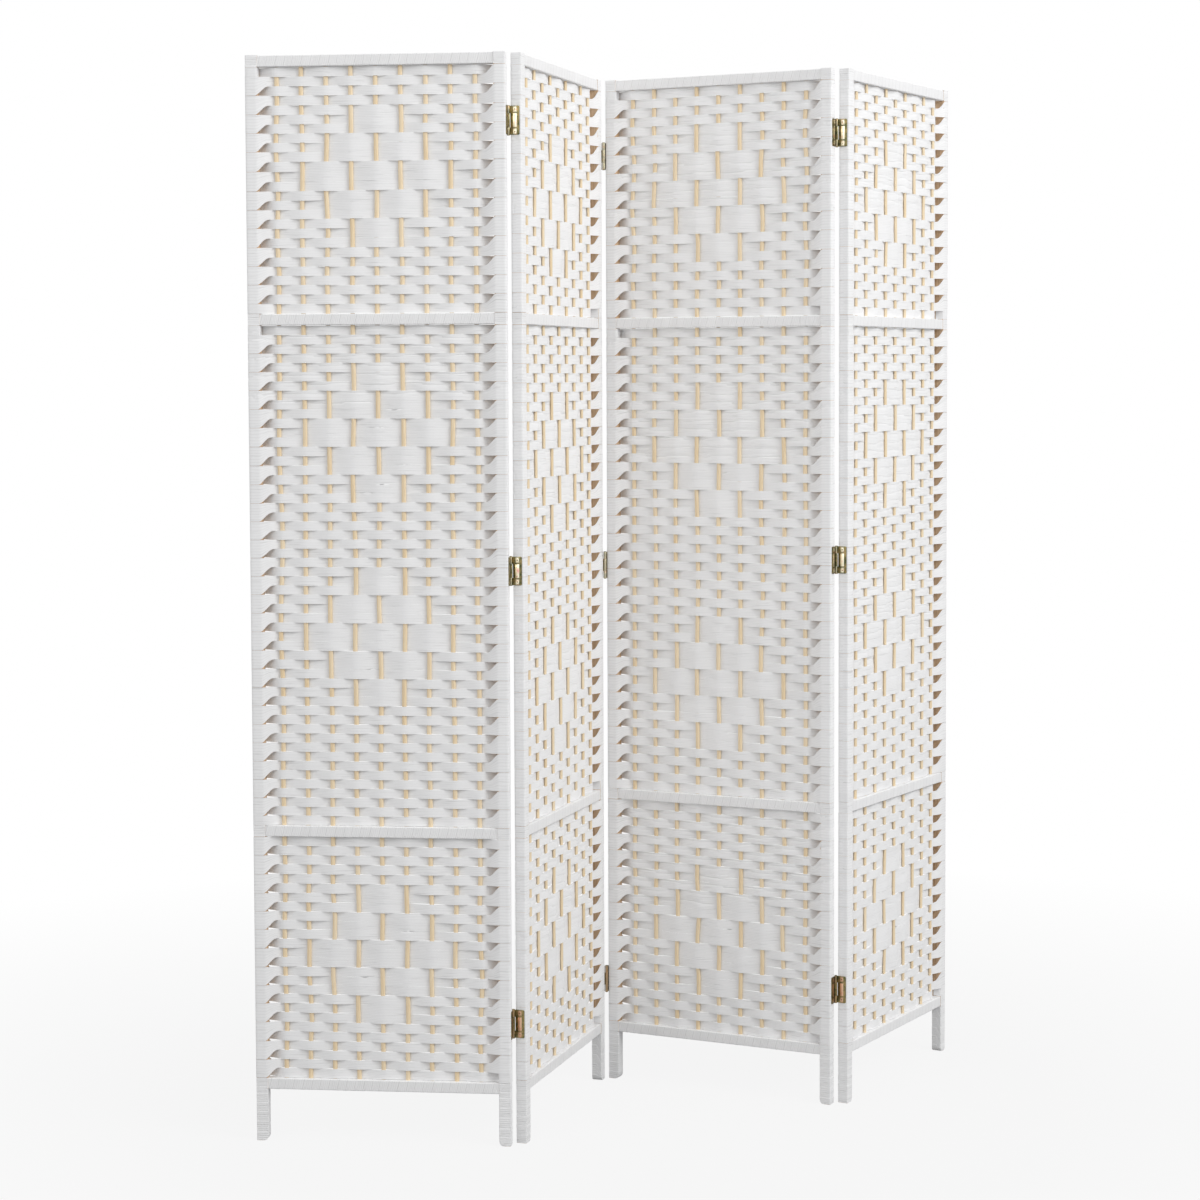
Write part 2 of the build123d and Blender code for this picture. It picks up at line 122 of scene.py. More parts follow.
# %% [markdown]
# ## Tools for working by hand
# Each piece starts as a primitive and is shaped in edit mode. Small helpers pick points by their
# place and push them, as one would with the mouse and proportional editing. Once paper is half
# folded, its points no longer lie where they did on the flat sheet, so they are then picked by their
# UV map, which still says where they were.

# %% Picking and pushing points
def only(*pieces):
    """Select these pieces alone and make the first one active."""
    bpy.ops.object.select_all(action="DESELECT")
    for piece in pieces:
        piece.select_set(True)
    bpy.context.view_layer.objects.active = pieces[0]
    return pieces[0]


def choose(test):
    """In edit mode, select the points whose place passes a test."""
    bpy.ops.mesh.select_all(action="DESELECT")
    mesh = bpy.context.edit_object.data
    shape = bmesh.from_edit_mesh(mesh)
    for point in shape.verts:
        point.select_set(test(point.co))
    shape.select_flush_mode()
    bmesh.update_edit_mesh(mesh)


def push(test, move, reach=0.0):
    """Move the chosen points, and those within reach of them less and less."""
    choose(test)
    bpy.ops.transform.translate(
        value=move,
        use_proportional_edit=reach > 0,
        proportional_edit_falloff="LINEAR",
        proportional_size=max(reach, MM),
    )


def choose_paper(test):
    """In edit mode, select points by their place on the flat sheet, from 0 to 1 across it and up it."""
    bpy.ops.mesh.select_all(action="DESELECT")
    mesh = bpy.context.edit_object.data
    shape = bmesh.from_edit_mesh(mesh)
    uv = shape.loops.layers.uv.active
    for point in shape.verts:
        point.select_set(test(*point.link_loops[0][uv].uv))
    shape.select_flush_mode()
    bmesh.update_edit_mesh(mesh)


# %% Cuts, modifiers and places
def cut_at(places, direction):
    """In edit mode, cut the whole mesh at each place along a direction."""
    for place in places:
        bpy.ops.mesh.select_all(action="SELECT")
        bpy.ops.mesh.bisect(plane_co=Vector(direction) * place, plane_no=direction)


def apply_modifier(piece, kind, **settings):
    """Add one modifier to a piece and apply it."""
    only(piece)
    modifier = piece.modifiers.new(kind.title(), kind)
    for name, value in settings.items():
        setattr(modifier, name, value)
    bpy.ops.object.modifier_apply(modifier=modifier.name)
    return piece


def points_of(mesh):
    """Places of a mesh's points as an array."""
    places = np.empty(len(mesh.vertices) * 3)
    mesh.vertices.foreach_get("co", places)
    return places.reshape(-1, 3)


def set_points(mesh, places):
    """Write the places of a mesh's points."""
    mesh.vertices.foreach_set("co", places.ravel())
    mesh.update()


def triangles(piece):
    """How many triangles a piece has."""
    return sum(len(face.vertices) - 2 for face in piece.data.polygons)


# %% [markdown]
# ## One row of the band
# A row is one flat sheet of paper before it is woven. It is cut where it will bend, spread at its
# ends to twice its height, because it covers its neighbour's place on the post, pushed to and fro
# between the canes, and last folded round the outer corners of the two posts. It could also be
# drawn as a curve with a width, but the order of the hand keeps the flat paper's own UV map, which
# the finish needs for strands that follow the band.

# %% The flat sheet
NOMINAL_PITCH = 14.6 * MM
ROW_OVERLAP = 0.2 * MM
ROW_HEIGHT = NOMINAL_PITCH + ROW_OVERLAP
POST_BEND = POST_INNER + 1.2 * MM  # where the band leaves the post's face for the canes
FLARE_LENGTH = 13.5 * MM
SEAM = 0.6 * MM
SPREAD = NOMINAL_PITCH - SEAM  # how much taller a row gets at a post
CREASE = 0.6 * MM  # half the length of paper in one folded corner
CORNER_LOSS = math.sqrt(2) - 1  # how much a corner folded in two steps saves, in creases
FOLD_1 = BAND_OUTSIDE - CREASE * CORNER_LOSS
HALF_SIDE = BAND_AT_POST - CREASE * CORNER_LOSS
FOLD_2 = FOLD_1 + 2 * HALF_SIDE
FOLD_3 = FOLD_2 + POST_WIDTH + 2 * BAND_FIT + BAND_THICKNESS - 2 * CREASE * CORNER_LOSS
TUCK = 14.0 * MM  # how far a loose end goes on, on the post's inner side
TINY = 1e-5
print("folds at", [round(line / MM, 1) for line in (FOLD_1, FOLD_2, FOLD_3)], "mm along the sheet")


def band_cuts():
    """Where the right half of a row is cut, from the middle of the panel to its end."""
    cuts = [CANE_RADIUS]
    for cane in range(6, CANE_COUNT + 1):
        x = cane_x(cane)
        cuts += [x - CANE_PITCH / 2, x - CANE_RADIUS, x + CANE_RADIUS]
    edge = cuts[-1]
    flare = POST_BEND - FLARE_LENGTH
    cuts += [(edge + flare) / 2, flare, flare + FLARE_LENGTH / 3, flare + 2 * FLARE_LENGTH / 3]
    cuts += [POST_BEND, POST_BEND + 3 * MM, (POST_BEND + FOLD_1) / 2, FOLD_1 - CREASE, FOLD_1 + CREASE]
    cuts += [FOLD_1 + HALF_SIDE / 2]
    return cuts


def flat_band(ends):
    """Flat sheet for a row; each end is the length of paper beyond the panel's middle."""
    bpy.ops.mesh.primitive_plane_add(size=1, rotation=(math.pi / 2, 0, 0))
    bpy.ops.object.transform_apply(location=False, rotation=True, scale=False)
    sheet = bpy.context.object
    length = ends[0] + ends[1]
    bpy.ops.object.mode_set(mode="EDIT")
    bpy.ops.transform.resize(value=(length, 1, ROW_HEIGHT))
    bpy.ops.transform.translate(value=((ends[1] - ends[0]) / 2, 0, 0))
    for edge, end in zip((LEFT, RIGHT), ends):
        cuts = band_cuts()
        if end > FOLD_2:
            cuts += [FOLD_1 + HALF_SIDE, FOLD_2 - CREASE, FOLD_2 + CREASE, (FOLD_2 + FOLD_3) / 2]
            cuts += [FOLD_3 - CREASE, FOLD_3 + CREASE, FOLD_3 + TUCK / 2]
        cut_at([edge * cut for cut in cuts], (1, 0, 0))
    cut_at((-ROW_HEIGHT / 4, ROW_HEIGHT / 4), (0, 0, 1))
    return sheet


# %% [markdown]
# ## Weaving a row
# The sheet is pushed in front of one cane and behind the next, and slopes between them. At a post it
# is pushed out to the post's face and folded round it, each fold in two steps, as stiff paper bends.
# The last fold is made first, while the rest of the sheet is still flat. A row that ends a section
# has a loose end, which goes on round the post and is tucked in on its inner side.

# %% Weaving and folding one row
def cane_runs(sides):
    """Neighbouring canes that the band passes on the same side, as (first, last, side)."""
    runs = []
    for cane, side in enumerate(sides, 1):
        if runs and runs[-1][2] == side:
            runs[-1][1] = cane
        else:
            runs.append([cane, cane, side])
    return runs


def fold(edge, side, line, ends):
    """Fold what lies beyond a line of the flat sheet by a quarter turn, in two steps, round the post."""
    for crease in (line + CREASE, line - CREASE):
        choose_paper(lambda across, up: edge * (across * sum(ends) - ends[0]) > crease + TINY)
        bpy.ops.transform.rotate(
            value=edge * side * math.pi / 4,
            orient_axis="Z",
            center_override=(edge * crease, side * BAND_AT_POST, 0),
        )


def woven_row(sides, widen):
    """Sheet of one row: its side at each cane, and which way it spreads at each post."""
    ends = [FOLD_1 + HALF_SIDE if way else FOLD_3 + TUCK for way in widen]
    sheet = flat_band(ends)
    for edge, way in zip((LEFT, RIGHT), widen):
        if way:
            choose(lambda place: edge * place.x > POST_BEND - TINY)
            bpy.ops.transform.resize(
                value=(1, 1, 1 + SPREAD / ROW_HEIGHT),
                center_override=(0, 0, -way * ROW_HEIGHT / 2 * NOMINAL_PITCH / SPREAD),
                use_proportional_edit=True,
                proportional_edit_falloff="LINEAR",
                proportional_size=FLARE_LENGTH,
            )
    for first, last, side in cane_runs(sides):
        low, high = cane_x(first) - CANE_RADIUS - TINY, cane_x(last) + CANE_RADIUS + TINY
        push(lambda place: low < place.x < high, (0, side * BAND_AT_CANE, 0), CANE_PITCH / 2 - CANE_RADIUS)
    reach = POST_BEND - cane_x(CANE_COUNT) - CANE_RADIUS
    for edge, end, side in ((LEFT, ends[0], -sides[0]), (RIGHT, ends[1], -sides[-1])):
        push(lambda place: edge * place.x > POST_BEND - TINY, (0, side * BAND_AT_POST, 0), reach)
        for line in (FOLD_3, FOLD_2, FOLD_1):
            if end > line:
                fold(edge, side, line, ends)
    bpy.ops.object.mode_set(mode="OBJECT")
    return apply_modifier(sheet, "SUBSURF", levels=1, render_levels=1, boundary_smooth="PRESERVE_CORNERS")


# %% [markdown]
# ## The pattern
# Plain rows pass behind every second cane, where the cane shows. In a diamond, three rows at a
# time share one pattern over its middle canes. Few kinds of row are needed, so each kind is modelled
# once, and every row of the screen is a copy with small irregularities of its own.

# %% Which way each row passes
DIAMOND_BLOCK, DIAMOND_REACH = 3, 3
WEAVES = {
    1: {"top": (26, False, (11,)), "middle": (54, False, (11, 33)), "bottom": (26, True, (12,))},
    2: {"top": (25, False, (13,)), "middle": (52, True, (14, 38)), "bottom": (26, True, (12,))},
    3: {"top": (25, False, (11,)), "middle": (52, False, (13, 39)), "bottom": (26, True, (14,))},
    4: {"top": (27, False, (13,)), "middle": (54, False, (13, 35)), "bottom": (27, False, (13,))},
}
print("rows:", {panel: [rows for rows, _, _ in parts.values()] for panel, parts in WEAVES.items()})


def band_side(row, cane, starts_in_front, diamonds):
    """BACK where the band passes behind a cane, so that the cane shows, and FRONT elsewhere."""
    shows = (row + cane + starts_in_front) % 2 == 0
    for middle in diamonds:
        step, between = divmod(abs(row - middle), DIAMOND_BLOCK)
        inside = abs(cane - (CANE_COUNT + 1) / 2) <= DIAMOND_REACH - step and 1 < cane < CANE_COUNT
        if between == 0 and step < DIAMOND_REACH and inside:
            shows = not shows
    return BACK if shows else FRONT


def widening(row, rows, starts_in_front, edge):
    """Which way a row spreads at a post: 1 up, -1 down, 0 for a loose end."""
    upper = (row + starts_in_front) % 2 == (1 if edge == LEFT else 0)
    if upper:
        return -1 if row + 1 < rows else 0
    return 1 if row > 0 else 0


row_kinds = {}


def row_mesh(sides, widen):
    """Mesh of one kind of row, modelled when it is first needed."""
    if (sides, widen) not in row_kinds:
        sheet = woven_row(sides, widen)
        row_kinds[sides, widen] = sheet.data
        bpy.data.objects.remove(sheet)
    return row_kinds[sides, widen]


# %% [markdown]
# ## Woven by hand
# No row is straight on the real screen. The canes bow by a millimetre or two and the bands follow
# them, rows rise and fall a little, and each has its own tilt, height and shade. The bows come from
# a few sine waves whose phases are drawn from a seeded generator, so every run gives the same screen.

# %% Waves and slopes
def waves(generator, count, length, size):
    """Smooth random wave along a length: returns a function of place."""
    turns = generator.uniform(0.7, 3.2, count)
    phases = generator.uniform(0, 2 * math.pi, count)
    sizes = generator.uniform(0.4, 1.0, count) * size / count

    def wave(place):
        return sum(s * np.sin(2 * math.pi * t * place / length + p) for s, t, p in zip(sizes, turns, phases))

    return wave


def smooth_step(value, low, high):
    """0 below low, 1 above high and a soft slope between."""
    share = np.clip((value - low) / (high - low), 0, 1)
    return share * share * (3 - 2 * share)


# %% A section and how unevenly it lies
class Section:
    """One woven section: its rows, its canes and how unevenly they lie."""

    def __init__(self, panel, name):
        self.panel, self.name = panel, name
        self.rows, self.starts_in_front, self.diamonds = WEAVES[panel][name]
        self.floor, self.height = section_floors[name], SECTION_HEIGHTS[name]
        self.pitch = (self.height - 2 * SECTION_END_GAP) / self.rows
        self.generator = np.random.default_rng(100 * panel + list(SECTION_HEIGHTS).index(name))
        self.bows = [waves(self.generator, 3, self.height, 3.0 * MM) for _ in range(CANE_COUNT)]
        self.rise = waves(self.generator, 4, self.height * 0.8, 2.4 * MM)
        self.lean = waves(self.generator, 2, self.height, 1.6 * MM)

    def ends(self, z):
        """1 inside the section, and 0 at the rails above and below it."""
        share = np.clip((z - self.floor) / self.height, 0, 1)
        return np.minimum(1, 5 * np.minimum(share, 1 - share))

    def bow(self, cane, z):
        """How far a cane is out of line at a height."""
        return self.bows[cane - 1](z) * self.ends(z)

    def loosen(self, places):
        """Move points of the bands with the canes and let the rows rise and fall."""
        x, z = places[:, 0].copy(), places[:, 2].copy()
        nodes = [-POST_INNER] + [cane_x(cane) for cane in range(1, CANE_COUNT + 1)] + [POST_INNER]
        still = [np.zeros(len(z))]
        bows = still + [self.bow(cane, z) for cane in range(1, CANE_COUNT + 1)] + still
        for left, right, bow_left, bow_right in zip(nodes, nodes[1:], bows, bows[1:]):
            within = (x >= left) & (x < right)
            share = (x - left) / (right - left)
            places[within, 0] += (bow_left * (1 - share) + bow_right * share)[within]
        places[:, 2] += self.ends(z) * (self.rise(z) + self.lean(z) * x / HALF_WIDTH)
        return places


# %% One row with irregularities of its own
def loose_row(section, row, mesh):
    """Copy of a row's mesh at its height, with its own tilt, slackness and shade."""
    generator = section.generator
    copy = mesh.copy()
    places = points_of(copy)
    x = places[:, 0]
    free = 1 - smooth_step(np.abs(x), POST_BEND - 24 * MM, POST_BEND - 2 * MM)
    flare = np.exp(-(((np.abs(x) - POST_BEND + FLARE_LENGTH * 0.6) / (9 * MM)) ** 2))
    slack = 1 - generator.uniform(-0.01, 0.018)
    drift = waves(generator, 3, PANEL_WIDTH * 0.6, 1.1 * MM)
    places[:, 2] *= (section.pitch / NOMINAL_PITCH) * (1 - free * (1 - slack))
    places[:, 2] += free * (generator.normal(0, 0.08 * MM) + drift(x) * 0.3)
    places[:, 1] += free * waves(generator, 4, PANEL_WIDTH * 0.5, 0.7 * MM)(x)
    places[:, 0] += flare * np.sign(x) * np.where(x < 0, *generator.normal(0, 0.9 * MM, 2))
    places[:, 2] += section.floor + SECTION_END_GAP + (section.rows - row - 0.5) * section.pitch
    set_points(copy, section.loosen(places))
    shade = copy.attributes.new("shade", "FLOAT", "POINT")
    shade.data.foreach_set("value", np.full(len(places), generator.uniform(0, 1), np.float32))
    flat = copy.uv_layers.active.data
    uv = np.empty(len(flat) * 2)
    flat.foreach_get("uv", uv)
    uv = uv.reshape(-1, 2) * (2 * (FOLD_1 + HALF_SIDE), NOMINAL_PITCH) + (0.47 * row, NOMINAL_PITCH * row)
    flat.foreach_set("uv", uv.ravel())
    return copy


# %% [markdown]
# ## The woven sections
# The sheets of a section meet in the middle of the posts' outer sides, where one row's band turns
# into the next one. They are joined there, their normals are made to agree along the whole band, and
# they are given their thickness together, so that each section is one long band again, as on the
# real screen. Pieces are shaped in their panel's own frame, where X runs along the panel, and one
# matrix then puts the mesh in its place, so that the object itself stays at the origin.

# %% One woven section
def weave_section(section):
    """One woven section as a piece, in its panel's own frame."""
    sheets = []
    for row in range(section.rows):
        sides = tuple(
            band_side(row, cane, section.starts_in_front, section.diamonds)
            for cane in range(1, CANE_COUNT + 1)
        )
        widen = tuple(widening(row, section.rows, section.starts_in_front, edge) for edge in (LEFT, RIGHT))
        mesh = loose_row(section, row, row_mesh(sides, widen))
        sheet = bpy.data.objects.new("row", mesh)
        bpy.context.collection.objects.link(sheet)
        sheets.append(sheet)
    piece = only(*sheets)
    bpy.ops.object.join()
    bpy.ops.object.mode_set(mode="EDIT")
    bpy.ops.mesh.select_all(action="SELECT")
    bpy.ops.mesh.remove_doubles(threshold=0.08 * MM)
    bpy.ops.mesh.normals_make_consistent(inside=False)
    bpy.ops.object.mode_set(mode="OBJECT")
    apply_modifier(piece, "SOLIDIFY", thickness=0.85 * MM, offset=0)
    bpy.ops.object.shade_smooth_by_angle(angle=math.radians(50))
    return piece


# %% Putting a piece in its place
def settle(piece, name, panel, node, material):
    """Put a finished piece in its panel's place, on its body, for its node."""
    piece.name = piece.data.name = name
    piece.data.transform(PLACES[panel])
    piece.data.materials.clear()
    piece.data.materials.append(material)
    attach(piece, f"panel_{panel}")
    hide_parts(node)
    return piece


# %% [markdown]
# ## Finishes
# Every finish is a node tree. A small class wraps a socket, so that shader maths is written as plain
# Python, and one method adds any other node. Everything is procedural: noise stretched along the
# fibres gives paper, bamboo and wood their grain without any picture.

# %% Sockets as numbers
class Socket:
    """An output socket that Python's operators turn into Math nodes."""

    def __init__(self, finish, output):
        self.finish, self.output = finish, output

    def maths(self, operation, *others):
        """One Math node on this socket and the others."""
        inputs = {index: value for index, value in enumerate((self, *others))}
        return self.finish.add("ShaderNodeMath", {"operation": operation}, inputs)

    def __add__(self, other):
        return self.maths("ADD", other)

    def __sub__(self, other):
        return self.maths("SUBTRACT", other)

    def __rsub__(self, other):
        return self.maths("MULTIPLY", -1).maths("ADD", other)

    def __mul__(self, other):
        return self.maths("MULTIPLY", other)

    __radd__, __rmul__ = __add__, __mul__

    def between(self, low, high):
        """This value's share of the way from low to high, held within 0 and 1."""
        inputs = {"Value": self, "From Min": low, "From Max": high}
        return self.finish.add("ShaderNodeMapRange", {"clamp": True}, inputs)


# %% Node trees
class Finish:
    """The node tree of a new material, or of a new world."""

    def __init__(self, name, owners=bpy.data.materials):
        self.owner = owners.new(name)
        self.owner.use_nodes = True
        self.nodes = self.owner.node_tree.nodes
        self.links = self.owner.node_tree.links
        self.nodes.clear()

    def add(self, kind, settings=None, inputs=None, output=0):
        """Add one node: its settings first, then its inputs. Returns one of its outputs."""
        node = self.nodes.new(kind)
        for name, value in (settings or {}).items():
            setattr(node, name, value)
        for name, value in (inputs or {}).items():
            if isinstance(value, Socket):
                self.links.new(value.output, node.inputs[name])
            else:
                node.inputs[name].default_value = value
        return None if output is None else Socket(self, node.outputs[output])

    def noise(self, vector, scale, detail=2.0, roughness=0.5):
        """Noise between 0 and 1."""
        inputs = {"Vector": vector, "Scale": scale, "Detail": detail, "Roughness": roughness}
        return self.add("ShaderNodeTexNoise", {}, inputs)

    def stretched(self, vector, scales):
        """A vector with each of its axes scaled."""
        return self.add("ShaderNodeMapping", {}, {"Vector": vector, "Scale": scales})

    def mixed(self, share, first, second):
        """Colour between two colours."""
        inputs = {0: share, 6: first, 7: second}  # a colour mix keeps its colours in these two sockets
        return self.add("ShaderNodeMix", {"data_type": "RGBA"}, inputs, 2)

    def surface(self, varying, **constants):
        """The Principled shader, with the sockets that vary and those that don't."""
        inputs = {**varying, **{name.replace("_", " "): value for name, value in constants.items()}}
        return self.show(self.add("ShaderNodeBsdfPrincipled", {}, inputs))

    def bump(self, height, depth, strength=1.0):
        """Normal of a surface with this height, where 1 stands for depth."""
        return self.add("ShaderNodeBump", {}, {"Height": height, "Distance": depth, "Strength": strength})

    def show(self, shader, kind="ShaderNodeOutputMaterial"):
        """Join a shader to the output, which ends the tree."""
        self.add(kind, {}, {"Surface": shader}, None)
        return self.owner


# %% [markdown]
# ## Paper
# The band is white twisted paper, opened out flat. Six fine strands run along it, with a shallow
# valley between each two and short fibres over them. The valleys get a painted shade, a little
# darker, and so do thin crease lines between the strands. The flat paper's UV map is in metres,
# so the strands keep their real width round every bend.

# %% Paper of the bands
def paper(name, strand, depth, crease_shade_strength):
    """White paper with strands along its length; UV is (along, across), in metres."""
    finish = Finish(name)
    flat = finish.add("ShaderNodeUVMap", {"uv_map": "UVMap"})
    drift = finish.noise(finish.stretched(flat, (14, 60, 1)), 1.0, 2.0) - 0.5
    across = finish.add("ShaderNodeSeparateXYZ", {}, {0: flat}, 1)
    wave = (across * (math.pi / strand) + drift * 3.0).maths("SINE").maths("ABSOLUTE")
    ridge = wave.maths("POWER", 0.4)
    fibre = finish.noise(finish.stretched(flat, (90, 2600, 1)), 1.0, 3.0, 0.6)
    # Thin crease lines between the strands: they dent the bump, and in the colour they are painted shade.
    crease_and_shade = finish.noise(finish.stretched(flat, (22, 620, 1)), 1.0, 2.0, 0.5).between(0.60, 0.74)
    cloud = finish.noise(finish.stretched(flat, (12, 60, 1)), 1.0, 3.0)
    shade = finish.add("ShaderNodeAttribute", {"attribute_name": "shade"}, {}, "Fac")
    # Painted shade: the strand valleys (low ridge) and the crease lines are darkened in the colour; fibre,
    # cloud and the row's tone are the paper's own.
    light = 0.80 + ridge * 0.16 + (fibre - 0.5) * 0.12 - crease_and_shade * crease_shade_strength
    light = light + (cloud - 0.5) * 0.10 + (shade - 0.5) * 0.05
    colour = finish.mixed(light.between(0, 1), (0.42, 0.417, 0.41, 1), (0.93, 0.93, 0.935, 1))
    normal = finish.bump(ridge * 0.6 + fibre * 0.25 - crease_and_shade * 0.6, depth)
    varying = {"Base Color": colour, "Roughness": 0.62 + fibre * 0.25, "Normal": normal}
    return finish.surface(varying, Specular_IOR_Level=0.3)


BAND_PAPER = paper("band_paper", 2.4 * MM, 0.2 * MM, 0.25)
STRIP_PAPER = paper("strip_paper", 3.0 * MM, 0.5 * MM, 0.5)

# %% [markdown]
# ## Bamboo
# The canes are pale straw-coloured bamboo, smooth and a little shiny, with fine darker fibres along
# them and slow changes of tone. The pattern is stretched along Z, because the canes stand upright.

# %% Bamboo of the canes
def bamboo():
    """Straw-coloured cane with fibres along Z."""
    finish = Finish("bamboo")
    place = finish.add("ShaderNodeTexCoord", {}, {}, "Object")
    fibre = finish.noise(finish.stretched(place, (1500, 1500, 30)), 1.0, 3.0, 0.6)
    tone = finish.noise(finish.stretched(place, (30, 30, 5)), 1.0, 2.0)
    colour = finish.mixed(fibre.between(0.3, 0.7), (0.74, 0.54, 0.31, 1), (0.92, 0.77, 0.53, 1))
    colour = finish.mixed(tone.between(0.35, 0.8) * 0.45, colour, (0.95, 0.84, 0.66, 1))
    normal = finish.bump(fibre, 0.05 * MM)
    varying = {"Base Color": colour, "Roughness": 0.36 + fibre * 0.2, "Normal": normal}
    return finish.surface(varying, Coat_Weight=0.1)


BAMBOO = bamboo()

# %% [markdown]
# ## Frame wood
# The notches beside the posts show the bare brown softwood of the frame. Its grain is noise
# stretched along Z too. The rails lie across it, but the paper strip covers them all over.

# %% Frame wood
def wood():
    """Brown softwood of the frame, seen where the bands leave openings."""
    finish = Finish("frame_wood")
    place = finish.add("ShaderNodeTexCoord", {}, {}, "Object")
    grain = finish.noise(finish.stretched(place, (420, 420, 9)), 1.0, 4.0, 0.6)
    bands = finish.noise(finish.stretched(place, (90, 90, 3)), 1.0, 2.0)
    colour = finish.mixed(grain.between(0.3, 0.7), (0.50, 0.31, 0.17, 1), (0.78, 0.56, 0.36, 1))
    colour = finish.mixed(bands.between(0.4, 0.7) * 0.4, colour, (0.84, 0.64, 0.44, 1))
    normal = finish.bump(grain, 0.2 * MM)
    return finish.surface({"Base Color": colour, "Roughness": 0.6 + grain * 0.2, "Normal": normal})


WOOD = wood()

# %% [markdown]
# ## Yellow zinc
# The hinges are pressed steel with a yellow zinc finish. The pressed ridge, the screw heads and the
# barrels get a painted highlight over some wear from hands and folding, the rest is olive, with pink
# streaks, and the lowest hinges are more coppery. How bright each point is painted comes with the
# mesh, as an attribute, so that the painted highlight follows the pressed shape.

# %% Yellow zinc
def yellow_zinc():
    """Yellow zinc on pressed steel, with a painted highlight over some wear where the mesh's attribute says.
    """
    finish = Finish("yellow_zinc")
    place = finish.add("ShaderNodeTexCoord", {}, {}, "Object")
    wear_and_highlight = finish.add("ShaderNodeAttribute", {"attribute_name": "wear_and_highlight"}, {}, "Fac")
    film = finish.noise(place, 170.0, 2.0)
    rub = finish.noise(place, 900.0, 2.0)
    dull = finish.mixed(film.between(0.35, 0.65), (0.075, 0.085, 0.04, 1), (0.30, 0.23, 0.10, 1))
    bright = finish.mixed(film.between(0.55, 0.68), (0.97, 0.90, 0.70, 1), (0.86, 0.50, 0.44, 1))
    height = finish.add("ShaderNodeSeparateXYZ", {}, {0: place}, 2)
    copper = height.between(0.5, 0.3) * 0.75
    bright = finish.mixed(copper, bright, (0.55, 0.27, 0.15, 1))
    # Painted highlight over some wear: the mesh's attribute, roughened by noise, mixes in the bright colour.
    share = (wear_and_highlight + (rub - 0.5) * 0.5).between(0.15, 0.8)
    colour = finish.mixed(share, dull, bright)
    normal = finish.bump(rub, 0.03 * MM)
    varying = {"Base Color": colour, "Roughness": 0.22 + rub * 0.2, "Normal": normal}
    return finish.surface(varying, Metallic=1.0)


ZINC = yellow_zinc()
print("finishes:", [finish.name for finish in (BAND_PAPER, STRIP_PAPER, BAMBOO, WOOD, ZINC)])

# %% [markdown]
# ## Twelve sections
# With the rows, the irregularities and the paper ready, the twelve sections are woven one by one.
# Only the kinds of row that the pattern really uses are modelled on the way.

# %% Weave the sections
sections = {}
for panel in PLACES:
    for name in SECTION_HEIGHTS:
        section = sections[panel, name] = Section(panel, name)
        piece = weave_section(section)
        node = f"panel_{panel}_{name}_weave"
        settle(piece, f"panel_{panel}_{name}_bands", panel, node, BAND_PAPER)
        print(piece.name, section.rows, "rows", triangles(piece), "triangles")
print(len(row_kinds), "kinds of row")

# %% [markdown]
# ## Canes
# A cane is a round rod that stands in the rails. Each one starts as a cylinder, is pressed a little
# flat, as it looks between the bands, and is cut into short lengths, so that it can bow with the
# same wave that has already moved the bands round it.

# %% Canes
CANE_SUNK = 6 * MM  # how deep a cane's ends stand in the rails
CANE_STEP = 32 * MM  # length between two cuts


def cane_piece(panel):
    """All the canes of a panel, each a cylinder cut into lengths and bowed."""
    canes, flat = [], CANE_HALF_DEPTH / CANE_RADIUS
    for name in SECTION_HEIGHTS:
        section = sections[panel, name]
        length, low = section.height + 2 * CANE_SUNK, section.floor - CANE_SUNK
        steps = round(length / CANE_STEP)
        for cane in range(1, CANE_COUNT + 1):
            middle = (cane_x(cane), 0, section.floor + section.height / 2)
            bpy.ops.mesh.primitive_cylinder_add(
                vertices=14, radius=CANE_RADIUS, depth=length, location=middle
            )
            bpy.ops.object.transform_apply()
            bpy.ops.object.mode_set(mode="EDIT")
            bpy.ops.transform.resize(value=(1, flat, 1), center_override=middle)
            cut_at([low + length * step / steps for step in range(1, steps)], (0, 0, 1))
            bpy.ops.object.mode_set(mode="OBJECT")
            rod = bpy.context.object
            places = points_of(rod.data)
            places[:, 0] += section.bow(cane, places[:, 2])
            set_points(rod.data, places)
            canes.append(rod)
    piece = only(*canes)
    bpy.ops.object.join()
    bpy.ops.object.shade_smooth_by_angle(angle=math.radians(40))
    return piece


for panel in PLACES:
    piece = cane_piece(panel)
    settle(piece, f"panel_{panel}_bamboo", panel, f"panel_{panel}_canes", BAMBOO)
    print(piece.name, triangles(piece), "triangles")

# %% [markdown]
# ## The wound strip
# A narrower strip of the same paper is wound on the rails and the legs. One turn is modelled flat, as
# long as the way round the wood. Its far end is pulled on by one pitch, so that it meets the start
# of the next turn, and its leading edge is lifted, because it lies on the turn that follows. Then it
# is folded round the four corners. Three such turns with different lifts are enough: a rail or a leg
# takes them in a seeded order, its ends are cut square, and the paper gets its thickness.

# %% One turn of the strip
STRIP_FIT = 0.25 * MM
STRIP_THICKNESS = 0.28 * MM
STRIP_CREASE = 0.5 * MM
STRIP_LIFTS = (0.12 * MM, 0.25 * MM, 0.38 * MM)
RAIL_TURN = 13.7 * MM
LEG_TURN = 16.0 * MM
OVERLAP = 1.12  # width of the strip over the length of one turn
turn_kinds = {}


